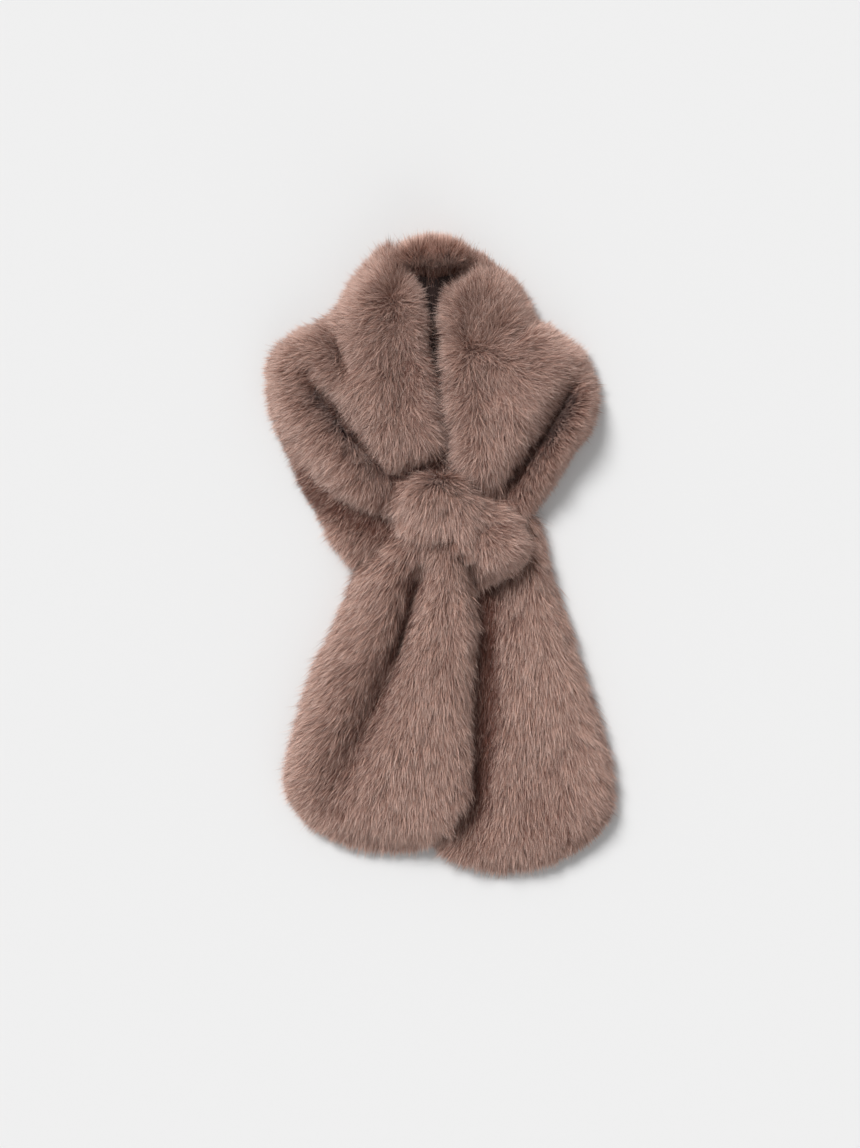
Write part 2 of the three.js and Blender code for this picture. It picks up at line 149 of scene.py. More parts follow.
# The stage, in metres, with the lens and the sensor in millimetres.
SWEEP_SIZE = 20
SKY_STRENGTH = 0.37
LENS, SENSOR = 87.1, 36
CAMERA_PLACE = (-0.010, -0.0153, 2.525)

# One row for each panel: how deep the pile is drawn in from the solid, the strands on it, how much painted
# shade they get where other hair closes over them, the flat cut of what shows, all round, and how that is
# held.
PANELS = {
    "neck_back": dict(pile=6.0, strands=54000, painted_shade=0.25, flat=(0.170, 0.400), held="folded"),
    "front_left": dict(pile=8.0, strands=110000, painted_shade=0.68, flat=(0.215, 0.300), held="folded"),
    "front_right": dict(pile=8.0, strands=90000, painted_shade=0.68, flat=(0.200, 0.250), held="folded"),
    "tail_under": dict(pile=7.5, strands=98000, painted_shade=0.68, flat=(0.260, 0.310), held="laid"),
    "tail_front": dict(pile=8.0, strands=116000, painted_shade=0.68, flat=(0.270, 0.280), held="laid"),
    "keeper_loop": dict(pile=7.0, strands=49000, painted_shade=0.60, flat=(0.160, 0.100), held="gathered"),
}

# The main creases, pressed into a backing along an arc: depth (negative for a ridge) and half width, and how
# soon the ends fade.
CREASES = {
    "neck_back": [((-32, 268), (-7, 269), (18, 268), -12, 7, 8)],
    "front_left": [
        ((-116, 160), (-96, 136), (-42, 72), 5, 9, 36),
        ((-146, 102), (-106, 54), (-48, 28), 22, 13, 14),
        ((-96, 212), (-91, 190), (-82, 172), 4, 6, 14),
        ((-36, 205), (-34, 170), (-20, 100), 7, 14, 40),
        ((-38, 70), (-14, 84), (14, 96), 15, 11, 12),
    ],
    "front_right": [
        ((122, 160), (98, 120), (56, 54), 14, 9, 26),
        ((82, 216), (74, 206), (60, 192), 6, 7, 12),
        ((88, 192), (76, 178), (70, 160), 4, 12, 16),
        ((26, 238), (28, 222), (30, 208), 4, 12, 14),
        ((40, 170), (40, 148), (42, 120), 5, 12, 24),
    ],
    "tail_under": [
        ((40, -10), (44, -110), (30, -244), 20, 13, 20),
        ((74, -44), (71, -50), (70, -58), 4, 6, 8),
        ((96, -195), (92, -212), (94, -230), 4, 20, 16),
    ],
    "tail_front": [
        ((-17, -8), (-30, -52), (-42, -100), 10, 9, 14),
        ((-40, -92), (-60, -143), (-92, -204), 9, 15, 44),
        ((9, -16), (9, -48), (7, -86), 3, 6, 18),
    ],
    "keeper_loop": [
        ((42, 29), (46, 28), (51, 26), 7, 5, 4),
        ((72, 36), (77, 26), (80, 14), 2, 7, 8),
        ((26, 58), (34, 32), (32, -2), 4, 8, 16),
    ],
}

# Patches where the pile is painted darker as shade or lighter as light: their middle (x, y), half width, half
# height, and by how much.
SHADE_AND_LIGHT_PATCHES = {
    "neck_back": [
        # Painted shade in the neck opening under the hem, and painted light on the roll behind it.
        (-19, 256, 9, 4, -0.30),
        (6, 256, 9, 4, -0.30),
        (-7, 262, 6, 9, 0.36),
        (-7, 270, 34, 9, 0.34),
    ],
    "front_left": [
        (-128, 78, 13, 7, -0.18),
        (-112, 60, 13, 7, -0.24),
        (-92, 46, 13, 6, -0.30),
        (-72, 37, 12, 6, -0.34),
        (-54, 31, 9, 6, -0.36),
        (-112, 34, 22, 15, 0.24),
        (-84, 10, 20, 14, 0.18),
    ],
    "front_right": [],
    "tail_under": [
        (92, -217, 30, 26, -0.12),
        (71, -50, 5, 7, -0.30),
        # Painted shadow of the front tail's edge along the under tail.
        (41, -60, 10, 50, -0.42),
        (44, -140, 10, 50, -0.42),
        (38, -210, 9, 34, -0.34),
    ],
    "tail_front": [(29, -110, 6, 110, 0.12)],
    "keeper_loop": [(70, 6, 18, 16, 0.12), (46, 27, 5, 4, -0.50)],
}

# How the coat is combed: at a place (x, y) on a panel it runs towards (dx, dy), as long as this times the
# usual strand, standing up by this many degrees before it settles.
COMB = {
    "neck_back": [
        (-26, 272, -0.30, 0.95, 1.0, 34),
        (-16, 272, -0.12, 1.00, 1.1, 36),
        (-7, 272, 0.00, 1.00, 1.2, 38),
        (4, 272, 0.12, 1.00, 1.1, 36),
        (14, 272, 0.30, 0.95, 1.0, 34),
        (-7, 284, 0.00, 1.00, 1.1, 26),
        (-26, 260, -0.10, 1.00, 0.8, 30),
        (-17, 260, -0.25, 0.95, 0.6, 26),
        (-7, 257, 0.00, 1.00, 1.0, 34),
        (4, 260, 0.25, 0.95, 0.6, 26),
        (13, 260, 0.10, 1.00, 0.8, 30),
        (-110, 180, -1.00, 0.00, 0.8, 20),
        (100, 180, 1.00, 0.00, 0.8, 20),
        (-60, 90, -0.70, -0.70, 0.8, 20),
        (60, 90, 0.70, -0.70, 0.8, 20),
    ],
    "front_left": [
        (-34, 276, 0.55, 0.85, 1.1, 28),
        (-34, 262, 0.60, 0.80, 1.1, 28),
        (-52, 270, -0.45, 0.90, 1.1, 32),
        (-74, 250, -0.85, 0.50, 1.0, 30),
        (-88, 226, -1.00, 0.05, 1.0, 30),
        (-60, 240, -0.85, 0.30, 1.0, 28),
        (-56, 214, -0.90, -0.35, 1.0, 28),
        (-46, 246, -0.60, 0.60, 1.0, 30),
        (-30, 244, 0.75, 0.20, 1.1, 30),
        (-24, 222, 0.90, -0.30, 1.0, 30),
        (-20, 190, 0.80, -0.55, 0.8, 28),
        (-18, 150, 0.85, -0.60, 1.3, 34),
        (-9, 120, 0.70, -0.75, 1.3, 34),
        (-44, 186, -0.55, -0.85, 1.0, 26),
        (-40, 150, -0.35, -0.95, 1.0, 26),
        (-30, 100, -0.10, -1.00, 1.0, 25),
        (-10, 70, 0.10, -1.00, 0.9, 25),
        (-70, 178, -0.75, -0.65, 1.0, 28),
        (-72, 130, -0.65, -0.75, 1.0, 26),
        (-62, 90, -0.50, -0.85, 1.0, 26),
        (-104, 206, -0.85, 0.25, 1.0, 30),
        (-130, 198, -0.80, 0.50, 1.0, 30),
        (-150, 176, -1.00, 0.00, 1.0, 30),
        (-120, 170, -0.90, -0.35, 1.0, 28),
        (-105, 130, -0.80, -0.60, 1.0, 26),
        (-150, 140, -0.95, -0.30, 1.0, 30),
        (-145, 100, -0.90, -0.45, 1.2, 28),
        (-100, 80, -0.75, -0.65, 1.0, 26),
        (-130, 64, -0.85, -0.55, 1.4, 28),
        (-80, 46, -0.55, -0.85, 1.0, 26),
        (-106, 28, -0.80, -0.60, 1.15, 28),
        (-60, 10, -0.45, -0.90, 1.0, 26),
        (-80, -4, -0.75, -0.65, 1.0, 30),
        (-45, 50, -0.30, -0.95, 1.0, 25),
    ],
    "front_right": [
        (20, 275, -0.50, 0.85, 0.9, 28),
        (22, 262, -0.60, 0.80, 1.1, 28),
        (42, 266, 0.10, 0.95, 0.7, 26),
        (64, 248, 0.65, 0.75, 0.85, 28),
        (80, 222, 0.95, 0.30, 1.0, 30),
        (26, 240, -0.25, 0.95, 0.9, 30),
        (8, 240, -1.00, 0.15, 1.5, 32),
        (6, 214, -1.00, -0.15, 1.45, 32),
        (9, 178, -1.00, -0.35, 1.6, 32),
        (12, 146, -0.95, -0.50, 1.85, 34),
        (20, 104, -0.90, -0.60, 1.85, 34),
        (36, 60, -0.10, -1.00, 0.9, 25),
        (36, 200, -0.10, 0.90, 0.9, 30),
        (50, 220, 0.45, 0.85, 1.0, 30),
        (56, 190, 0.90, 0.30, 1.0, 30),
        (36, 168, -0.15, -0.95, 0.9, 28),
        (52, 160, 0.50, -0.70, 1.0, 28),
        (50, 120, 0.15, -1.00, 1.0, 26),
        (62, 84, 0.20, -1.00, 1.0, 25),
        (84, 180, 0.95, 0.05, 1.0, 30),
        (98, 202, 0.75, 0.65, 1.1, 34),
        (124, 186, 0.80, 0.60, 1.1, 34),
        (138, 160, 0.95, 0.25, 1.1, 34),
        (112, 160, 0.95, 0.10, 1.0, 30),
        (84, 134, 0.75, -0.60, 1.0, 26),
        (142, 128, 0.85, -0.45, 0.85, 28),
        (116, 120, 0.90, -0.40, 1.0, 28),
        (128, 100, 0.55, -0.85, 0.50, 22),
        (90, 80, 0.65, -0.75, 1.0, 26),
        (108, 70, 0.50, -0.85, 0.50, 22),
        (76, 44, 0.45, -0.90, 1.0, 26),
        (90, 44, 0.45, -0.90, 0.60, 22),
    ],
    "keeper_loop": [
        (2, 80, -0.05, -1.00, 0.9, 30),
        (-16, 72, -0.55, -0.80, 0.9, 30),
        (-36, 50, -0.75, -0.65, 1.3, 22),
        (-44, 24, -0.70, -0.70, 1.4, 18),
        (-20, 44, -0.45, -0.90, 1.2, 24),
        (-22, 10, -0.45, -0.90, 1.4, 18),
        (6, 50, 0.05, -1.00, 0.9, 28),
        (2, 20, 0.00, -1.00, 0.9, 28),
        (22, 70, 0.50, -0.80, 0.9, 30),
        (30, 44, 0.55, -0.80, 0.9, 28),
        (24, 10, 0.25, -0.95, 0.9, 28),
        (50, 46, 0.85, -0.45, 0.9, 30),
        (60, 24, 0.90, -0.35, 0.9, 30),
        (72, 10, 0.90, -0.45, 0.9, 30),
        (46, -8, 0.35, -0.95, 0.9, 28),
        (20, -8, 0.15, -1.00, 0.9, 28),
        (58, -14, 0.65, -0.75, 0.9, 30),
    ],
    "tail_front": [
        (-40, -6, -0.60, -0.80, 0.9, 26),
        (-10, -6, -0.20, -1.00, 0.9, 26),
        (2, -30, -0.50, -0.85, 0.9, 28),
        (2, -66, -0.45, -0.90, 0.9, 28),
        (14, -30, 0.50, -0.85, 0.9, 28),
        (14, -66, 0.40, -0.90, 0.9, 28),
        (26, -20, 0.45, -0.90, 0.75, 28),
        (32, -80, 0.30, -0.95, 0.62, 26),
        (-60, -50, -0.70, -0.70, 1.0, 28),
        (-80, -90, -0.80, -0.60, 1.0, 30),
        (-40, -60, -0.50, -0.85, 1.0, 26),
        (-46, -110, -0.45, -0.90, 1.0, 26),
        (-14, -100, -0.20, -1.00, 1.0, 26),
        (12, -120, 0.05, -1.00, 1.0, 26),
        (34, -130, 0.30, -0.95, 0.62, 26),
        (-104, -140, -0.85, -0.55, 1.0, 30),
        (-80, -150, -0.65, -0.75, 1.0, 28),
        (-130, -190, -0.95, -0.35, 1.0, 30),
        (-100, -190, -0.65, -0.75, 1.0, 28),
        (-60, -180, -0.35, -0.95, 1.0, 26),
        (-20, -180, -0.05, -1.00, 1.0, 26),
        (30, -180, 0.25, -0.95, 0.62, 26),
        (-136, -220, -0.95, -0.45, 1.0, 30),
        (-110, -245, -0.65, -0.75, 1.0, 30),
        (-70, -230, -0.25, -0.95, 1.0, 26),
        (-70, -262, -0.25, -0.95, 1.0, 28),
        (-20, -262, 0.05, -1.00, 1.0, 28),
        (20, -225, 0.35, -0.95, 1.0, 28),
        (18, -248, 0.55, -0.80, 1.0, 30),
    ],
    "tail_under": [
        (66, 30, 0.10, -1.00, 0.9, 26),
        (90, 10, 0.60, -0.80, 0.9, 28),
        (70, -20, 0.05, -1.00, 0.9, 26),
        (64, -60, -0.10, -1.00, 1.0, 26),
        (98, -50, 0.45, -0.90, 1.0, 28),
        (56, -100, -0.15, -1.00, 1.0, 26),
        (84, -100, 0.10, -1.00, 1.0, 26),
        (112, -90, 0.45, -0.90, 1.0, 28),
        (50, -150, -0.15, -1.00, 1.0, 26),
        (88, -150, 0.05, -1.00, 1.0, 26),
        (130, -140, 0.50, -0.85, 1.0, 28),
        (40, -210, -0.15, -1.00, 1.0, 26),
        (90, -210, 0.05, -1.00, 1.0, 26),
        (140, -200, 0.50, -0.85, 1.0, 28),
        (156, -215, 0.85, -0.50, 1.0, 30),
        (150, -245, 0.55, -0.85, 0.75, 26),
        (120, -265, 0.25, -0.95, 0.75, 26),
        (80, -280, 0.05, -1.00, 1.0, 28),
        (40, -275, -0.20, -0.95, 1.0, 28),
        (8, -262, -0.50, -0.85, 1.0, 28),
    ],
}

# ---- Small helpers --------------------------------------------------------------------------------------


def linear(colour):
    """The linear RGBA of an sRGB hex colour."""
    parts = [int(colour[i : i + 2], 16) / 255 for i in (1, 3, 5)]
    return tuple(c / 12.92 if c <= 0.04045 else ((c + 0.055) / 1.055) ** 2.4 for c in parts) + (1.0,)


def add(tree, kind, settings=None, **links):
    """Adds a node: settings are its own properties and its sockets' values, links are what feeds its sockets.

    A link is named by its socket, with _ for a space, or as i and the socket's number.
    """
    node = tree.nodes.new(kind)
    for key, value in (settings or {}).items():
        if isinstance(key, str) and hasattr(node, key):
            setattr(node, key, value)
        else:
            node.inputs[key].default_value = value
    for key, source in links.items():
        place = int(key[1:]) if key[0] == "i" and key[1:].isdigit() else key.replace("_", " ")
        tree.links.new(source, node.inputs[place])
    return node


def unit(vectors):
    """Rows of vectors, each made one long."""
    return vectors / np.maximum(np.linalg.norm(vectors, axis=-1, keepdims=True), 1e-9)


def soft_step(low, high, value):
    """0 below low, 1 above high, and a smooth rise between."""
    t = np.clip((value - low) / (high - low), 0, 1)
    return t * t * (3 - 2 * t)


def turned(ahead, normals, angle):
    """The directions, turned about the normals by the angles."""
    c, s = np.cos(angle)[:, None], np.sin(angle)[:, None]
    along = normals * (normals * ahead).sum(1, keepdims=True)
    return ahead * c + np.cross(normals, ahead) * s + along * (1 - c)


def nearest(seeds, points):
    """The index of the seed that each point is nearest to."""
    tree = KDTree(len(seeds))
    for i, seed in enumerate(seeds):
        tree.insert(seed, i)
    tree.balance()
    return np.array([tree.find(p)[1] for p in points])


def places(mesh):
    """The mesh's points and their normals, as arrays."""
    points, normals = np.zeros(len(mesh.vertices) * 3), np.zeros(len(mesh.vertices) * 3)
    mesh.vertices.foreach_get("co", points)
    mesh.vertices.foreach_get("normal", normals)
    return points.reshape(-1, 3), normals.reshape(-1, 3)


def tree_of(some):
    """One tree of several meshes, to cast rays at."""
    points, faces = [], []
    for mesh in some:
        base = len(points)
        points += [tuple(v.co) for v in mesh.vertices]
        faces += [tuple(base + v for v in p.vertices) for p in mesh.polygons]
    return BVHTree.FromPolygons(points, faces)


def show(name, mesh, material):
    """A new piece of the wrap, at the origin, riding on its one body."""
    piece = bpy.data.objects.new(name, mesh)
    bpy.context.scene.collection.objects.link(piece)
    piece.data.materials.clear()
    piece.data.materials.append(material)
    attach(piece, "root")
    return piece


def thickened(piece, thickness):
    """Gives a sheet its wall, on its inner side."""
    wall = piece.modifiers.new("wall", "SOLIDIFY")
    wall.thickness, wall.offset = thickness * MM, -1


# ---- Backings and lining --------------------------------------------------------------------------------


def remeshed(mesh, grid):
    """The mesh again, with even facets of this size."""
    form = bpy.data.objects.new("form", mesh)
    bpy.context.scene.collection.objects.link(form)
    remesh = form.modifiers.new("even", "REMESH")
    remesh.mode = "VOXEL"
    remesh.voxel_size = grid * MM
    bpy.context.view_layer.update()
    even = bpy.data.meshes.new_from_object(form.evaluated_get(bpy.context.evaluated_depsgraph_get()))
    bpy.data.objects.remove(form)
    return even


def relaxed(mesh, passes):
    """Smooths the mesh in place."""
    shape = bmesh.new()
    shape.from_mesh(mesh)
    for _ in range(passes):
        bmesh.ops.smooth_vert(
            shape, verts=shape.verts, factor=0.5, use_axis_x=True, use_axis_y=True, use_axis_z=True
        )
    bmesh.ops.recalc_face_normals(shape, faces=shape.faces)
    shape.to_mesh(mesh)
    shape.free()
    return mesh


def creased(node, points):
    """How deep each point of a panel is pressed by its creases, and how near it is to the floor of one.

    A ridge lifts the points instead, and counts as near nothing.
    """
    depth, near = np.zeros(len(points)), np.zeros(len(points))
    flat = points[:, :2] / MM
    for start, via, end, deep, wide, fade in CREASES[node]:
        t = np.linspace(0, 1, ARC_POINTS)[:, None]
        middle = 2 * np.array(via) - (np.array(start) + np.array(end)) / 2
        arc = (1 - t) ** 2 * start + 2 * t * (1 - t) * middle + t**2 * end
        away = np.full(len(points), np.inf)
        for a, b in zip(arc[:-1], arc[1:]):
            share = np.clip((flat - a) @ (b - a) / ((b - a) @ (b - a)), 0, 1)[:, None]
            away = np.minimum(away, np.linalg.norm(flat - a - share * (b - a), axis=1))
        ends = np.minimum(np.linalg.norm(flat - start, axis=1), np.linalg.norm(flat - end, axis=1))
        length = np.linalg.norm(np.diff(arc, axis=0), axis=1).sum()
        strength = soft_step(-fade / 2, min(fade, length / 2), ends)
        depth += deep * strength * np.exp(-((away / wide) ** 2))
        shaded = strength * min(1, deep / FULL_CREASE) * np.exp(-((away / (SHADED * wide)) ** 2))
        near = np.maximum(near, shaded)
    return depth, near


def painted_shade_and_light(node, points):
    """How much painted shade darkens or painted light lightens the pile at these points of a panel."""
    tone = np.zeros(len(points))
    for x, y, wide, high, change in SHADE_AND_LIGHT_PATCHES[node]:
        away = ((points[:, 0] / MM - x) / wide) ** 2 + ((points[:, 1] / MM - y) / high) ** 2
        tone += change * np.exp(-away)
    return tone


def comb_at(node, points):
    """The coat's direction, length, lift and parting at these points of a panel, blended from its comb."""
    rows = np.array(COMB[node])
    away = np.linalg.norm(points[:, None, :2] / MM - rows[None, :, :2], axis=2)
    weight = 1 / (away**2 + COMB_NEAR) ** COMB_FALL
    weight /= weight.sum(1, keepdims=True)
    ahead = np.zeros((len(points), 3))
    ahead[:, :2] = weight @ unit(rows[:, 2:4])
    parted = 1 - np.linalg.norm(ahead, axis=1)
    lift = np.radians(SETTLED * (weight @ rows[:, 5]) + PARTED_LIFT * parted)
    return unit(ahead), weight @ rows[:, 4], lift, parted


def backing_mesh(node, pile):
    """A panel's backing: its solid's form, creased, and drawn in by the pile, which is crushed underneath."""
    merged = bmesh.new()
    merged.from_mesh(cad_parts[node].data)
    bmesh.ops.remove_doubles(merged, verts=merged.verts, dist=WELD * MM)
    solid = bpy.data.meshes.new(node + "_solid")
    merged.to_mesh(solid)
    merged.free()
    even = relaxed(remeshed(solid, BACKING_GRID * FORM_GRID), FORM_PASSES)
    points, normals = places(even)
    depth = pile * (CRUSHED_PILE + (1 - CRUSHED_PILE) * soft_step(*UNDERSIDE, normals[:, 2]))
    ahead, _, _, _ = comb_at(node, points)
    outward = (ahead * normals).sum(1)
    depth *= 1 + np.where(outward > 0, RIM_OUT, RIM_IN) * outward
    points -= normals * depth[:, None] * MM
    pressed, _ = creased(node, points)
    points[:, 2] -= pressed * MM * soft_step(*CREASE_HEIGHTS, points[:, 2] / MM)
    lowest = LEAST_RIM + (LEAST_LOFT - LEAST_RIM) * soft_step(*UPPER_SIDE, normals[:, 2])
    points[:, 2] = np.maximum(points[:, 2], lowest * MM)
    even.vertices.foreach_set("co", points.ravel())
    return relaxed(remeshed(even, BACKING_GRID), BACKING_PASSES)


def below_hem(face):
    """Whether a face of the lining is below its curved top edge."""
    middle, low, rise, half = HEM
    centre = face.calc_center_median()
    return centre.y / MM <= low + rise * ((centre.x / MM - middle) / half) ** 2


def lining_mesh():
    """The satin lining's upper face, refined and crinkled."""
    sheet = bmesh.new()
    sheet.from_mesh(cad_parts["neck_lining"].data)
    bmesh.ops.remove_doubles(sheet, verts=sheet.verts, dist=WELD * MM)
    under = [face for face in sheet.faces if face.normal.z < UPPER_FACE]
    bmesh.ops.delete(sheet, geom=under, context="FACES")
    for _ in range(LINING_CUTS):
        long = [edge for edge in sheet.edges if edge.calc_length() > LINING_FACET * MM]
        if long:
            bmesh.ops.subdivide_edges(sheet, edges=long, cuts=1)
            bmesh.ops.triangulate(sheet, faces=[face for face in sheet.faces if len(face.verts) > 3])
    for _ in range(LINING_PASSES):
        bmesh.ops.smooth_vert(
            sheet, verts=sheet.verts, factor=0.5, use_axis_x=False, use_axis_y=False, use_axis_z=True
        )
    outside = [face for face in sheet.faces if not below_hem(face)]
    bmesh.ops.delete(sheet, geom=outside, context="FACES")
    for vert in sheet.verts:
        place = vert.co / (CRINKLE * MM)
        vert.co.z += CRINKLE_DEPTH * MM * noise.ridged_multi_fractal(place, *CRINKLE_FORM)
    mesh = bpy.data.meshes.new("lining_neck")
    sheet.to_mesh(mesh)
    sheet.free()
    return mesh


# ---- The coat -------------------------------------------------------------------------------------------


def sphere_rays(count):
    """Directions spread evenly over a sphere."""
    i = np.arange(count) + 0.5
    high = 1 - 2 * i / count
    turn = math.pi * (1 + 5**0.5) * i
    wide = np.sqrt(1 - high**2)
    return np.stack([np.cos(turn) * wide, np.sin(turn) * wide, high], axis=1)


def openness(points, normals, layers, away, reach):
    """How much of the air in front of each point is open: 1 in the clear, 0 pressed under another layer."""
    rays = [Vector(ray) for ray in sphere_rays(RAYS)]
    seen = np.zeros(len(points))
    for i, (point, normal) in enumerate(zip(points, normals)):
        facing = Vector(normal)
        start = Vector(point) + facing * away * MM
        total = clear = 0.0
        for ray in rays:
            weight = ray.dot(facing)
            if weight > GRAZING:
                total += weight
                if layers.ray_cast(start, ray, reach * MM)[0] is None:
                    clear += weight
        seen[i] = clear / total
    return seen


def scattered(mesh, share, count, random, values=None):
    """Roots spread over a mesh by each point's share of strands, with the normals and other values there."""
    points, normals = places(mesh)
    mesh.calc_loop_triangles()
    corners = np.zeros(len(mesh.loop_triangles) * 3, np.int32)
    mesh.loop_triangles.foreach_get("vertices", corners)
    corners = corners.reshape(-1, 3)
    a, b, c = (points[corners[:, k]] for k in range(3))
    size = np.linalg.norm(np.cross(b - a, c - a), axis=1) * share[corners].mean(1)
    chosen = random.choice(len(size), count, p=size / size.sum())
    u, v = random.random((2, count, 1))
    u, v = np.where(u + v > 1, 1 - u, u), np.where(u + v > 1, 1 - v, v)
    weights = np.stack([1 - u - v, u, v], axis=1)

    def there(rows):
        return (rows[corners[chosen]] * weights).sum(1)

    if values is None:
        return there(points), unit(there(normals))
    return there(points), unit(there(normals)), there(values[:, None])[:, 0]


def coat(node, mesh, count, others, everything, random):
    """The strands of one panel: tapered ribbons, the guard hairs bent once and the fine ones straight."""
    points, normals = places(mesh)
    covered = openness(points, normals, others, *COVER)
    shade = openness(points, normals, everything, *SHADE)
    share = COVERED_SHARE + (1 - COVERED_SHARE) * soft_step(0.0, OPEN_ENOUGH, covered)
    share *= UNDER_SHARE + (1 - UNDER_SHARE) * soft_step(*UNDER_SLOPES, normals[:, 2])
    share *= 1 + PARTED_MORE * comb_at(node, points)[3]
    roots, up, open_air = scattered(mesh, share, count, random, shade)

    area = sum(p.area for p in mesh.polygons) / MM**2
    locks, _ = scattered(mesh, share, int(area / LOCK**2), random)
    tufts, tuft_up = scattered(mesh, share, int(area / TUFT**2), random)
    lock_of_tuft, tuft_of = nearest(locks, tufts), nearest(tufts, roots)
    lock_of = lock_of_tuft[tuft_of]

    # Each lock and tuft leans its own way, and the strands of a tuft end near its tip.
    lock_turn, lock_lift, lock_tone = random.normal(0, 1, (3, len(locks)))
    tuft_turn, tuft_lift, tuft_tone = random.normal(0, 1, (3, len(tufts)))

    def arc(where, normal, lock, tuft, spread):
        """The knees and tips of strands rooted here, and how near each is to the floor of a crease."""
        ahead, long, lift, parted = comb_at(node, where)
        _, near = creased(node, where)
        n = len(where)
        long = long * STRAND_LENGTH * MM * (1 + LENGTH_SPREAD * random.normal(0, 1, n) * spread)
        long = long * (1 - CREASE_SHORT * near)
        lift = lift + np.radians(
            LOCK_LIFT * lock_lift[lock]
            + TUFT_LIFT * tuft_lift[tuft]
            + STRAND_LIFT * spread * random.normal(0, 1, n)
        )
        lift = np.clip(lift, math.radians(LEAST_LIFT), math.radians(MOST_LIFT))
        # Where the coat parts, it stands up and its strands lean every way.
        loose = STRAND_TURN + PARTED_TURN * parted
        turn = np.radians(
            LOCK_TURN * lock_turn[lock]
            + TUFT_TURN * tuft_turn[tuft]
            + loose * spread * random.normal(0, 1, n)
        )
        outward = (ahead * normal).sum(1, keepdims=True)
        flat = unit(ahead - normal * outward * np.where(outward > 0, np.clip(normal[:, 2:], 0, 1), 1))
        flat = turned(flat, normal, turn)
        long = long * (1 - OVER_EDGE * np.clip(outward[:, 0], 0, 1))
        long = long * np.where(random.random(n) < WISPS, WISP_LENGTH, 1.0)
        foot = unit(flat * np.cos(lift + RISE)[:, None] + normal * np.sin(lift + RISE)[:, None])
        end = unit(flat * np.cos(lift - DROOP)[:, None] + normal * np.sin(lift - DROOP)[:, None])
        knee = where + foot * (long * KNEE)[:, None]
        return knee, knee + end * (long * (1 - KNEE))[:, None], near

    knee, tip, near = arc(roots, up, lock_of, tuft_of, 1.0)
    tuft_knee, tuft_tip, _ = arc(tufts, tuft_up, lock_of_tuft, np.arange(len(tufts)), 0.0)
    gather = (GATHER + GATHER_SPREAD * random.random(count))[:, None]
    tip += (tuft_tip[tuft_of] - tip) * gather
    knee += (tuft_knee[tuft_of] - knee) * gather * KNEE_GATHER
    base = roots - up * ROOT_SUNK * MM

    # Hair under a panel is pressed against the table, and none stands far out of the solids.
    floor = FLOOR_CLEAR * MM * (1 + random.random(count))
    reach = np.array(REACH) * MM * (1 - REACH_SPREAD + REACH_SPREAD * random.random((count, 1)))
    for row in (base, knee, tip):
        row[:] = np.clip(row, np.array(cad_low) - reach, np.array(cad_high) + reach)
        row[:, 2] = np.maximum(row[:, 2], floor)

    side = unit(np.cross(unit(tip - base), up))
    side = turned(side, unit(tip - base), np.radians(TWIST) * random.normal(0, 1, count))
    wide = (MM * (LEAST_WIDTH + WIDTH_SPREAD * random.random(count)) / 2)[:, None]
    guards = int(count * GUARD_SHARE)
    g, f = slice(0, guards), slice(guards, count)
    gw, fw = side[g] * wide[g] * GUARD_WIDTH, side[f] * wide[f] * FINE_WIDTH
    bent = np.stack(
        [base[g] - gw, base[g] + gw, knee[g] - gw * KNEE_WIDTH, knee[g] + gw * KNEE_WIDTH, tip[g]], axis=1
    )
    straight = np.stack([base[f] - fw, base[f] + fw, tip[f]], axis=1)
    for rows in (bent, straight):
        rows[:, :, 2] = np.maximum(rows[:, :, 2], FLOOR_CLEAR * MM)

    tone = MIDDLE_TONE + LOCK_TONE * lock_tone[lock_of] + TUFT_TONE * tuft_tone[tuft_of]
    tone += STRAND_TONE * random.normal(0, 1, count)
    # Painted shade where other hair closes over the pile and on the floor of creases, patches of painted
    # shade and painted light, and painted light on the open sides.
    tone += PANELS[node]["painted_shade"] * (open_air - CLEAR_AIR) - CREASE_PAINTED_SHADE * near + painted_shade_and_light(node, roots)
    tone += SIDE_PAINTED_LIGHT * (1 - np.abs(up[:, 2])) * open_air
    return strand_mesh("fur_" + node, bent, straight, tone)


def strand_mesh(name, bent, straight, tone):
    """Ribbons as one mesh. Their map runs from root to tip, at the place of each one's tone."""
    # Each kind: its points, the corners of its faces, where those start, and across and down on the map.
    kinds = [
        (bent, [0, 1, 3, 2, 2, 3, 4], [0, 4], [-1, 1, 1, -1, -1, 1, 0], [0, 0, KNEE, KNEE, KNEE, KNEE, 1]),
        (straight, [0, 1, 2], [0], [-1, 1, 0], [0, 0, 1]),
    ]
    tone = MAP_HALF + np.clip(tone, 0, 1) * (1 - 2 * MAP_HALF)
    # The first and last strand reach the two ends of the map, so that it fills its square.
    tone[0], tone[-1] = MAP_HALF, 1 - MAP_HALF
    points, corners, starts, uv = [], [], [], []
    point_base = corner_base = used = 0
    for rows, face_corners, face_starts, across, down in kinds:
        count = len(rows)
        order = np.arange(count)[:, None]
        points.append(rows.reshape(-1, 3))
        corners.append((point_base + order * rows.shape[1] + np.array([face_corners])).ravel())
        starts.append((corner_base + order * len(face_corners) + np.array([face_starts])).ravel())
        u = tone[used : used + count, None] + MAP_HALF * np.array([across])
        uv.append(np.stack([u, np.broadcast_to(down, u.shape)], axis=2).reshape(-1, 2))
        point_base += count * rows.shape[1]
        corner_base += count * len(face_corners)
        used += count
    points, corners, starts, uv = (np.concatenate(x) for x in (points, corners, starts, uv))
    mesh = bpy.data.meshes.new(name)
    mesh.vertices.add(len(points))
    mesh.loops.add(len(corners))
    mesh.polygons.add(len(starts))
    mesh.vertices.foreach_set("co", points.ravel())
    mesh.loops.foreach_set("vertex_index", corners)
    mesh.polygons.foreach_set("loop_start", starts)
    mesh.update(calc_edges=True)
    layer = mesh.uv_layers.new(name="OFBake")
    layer.uv.foreach_set("vector", uv.ravel().astype(np.float32))
    return mesh


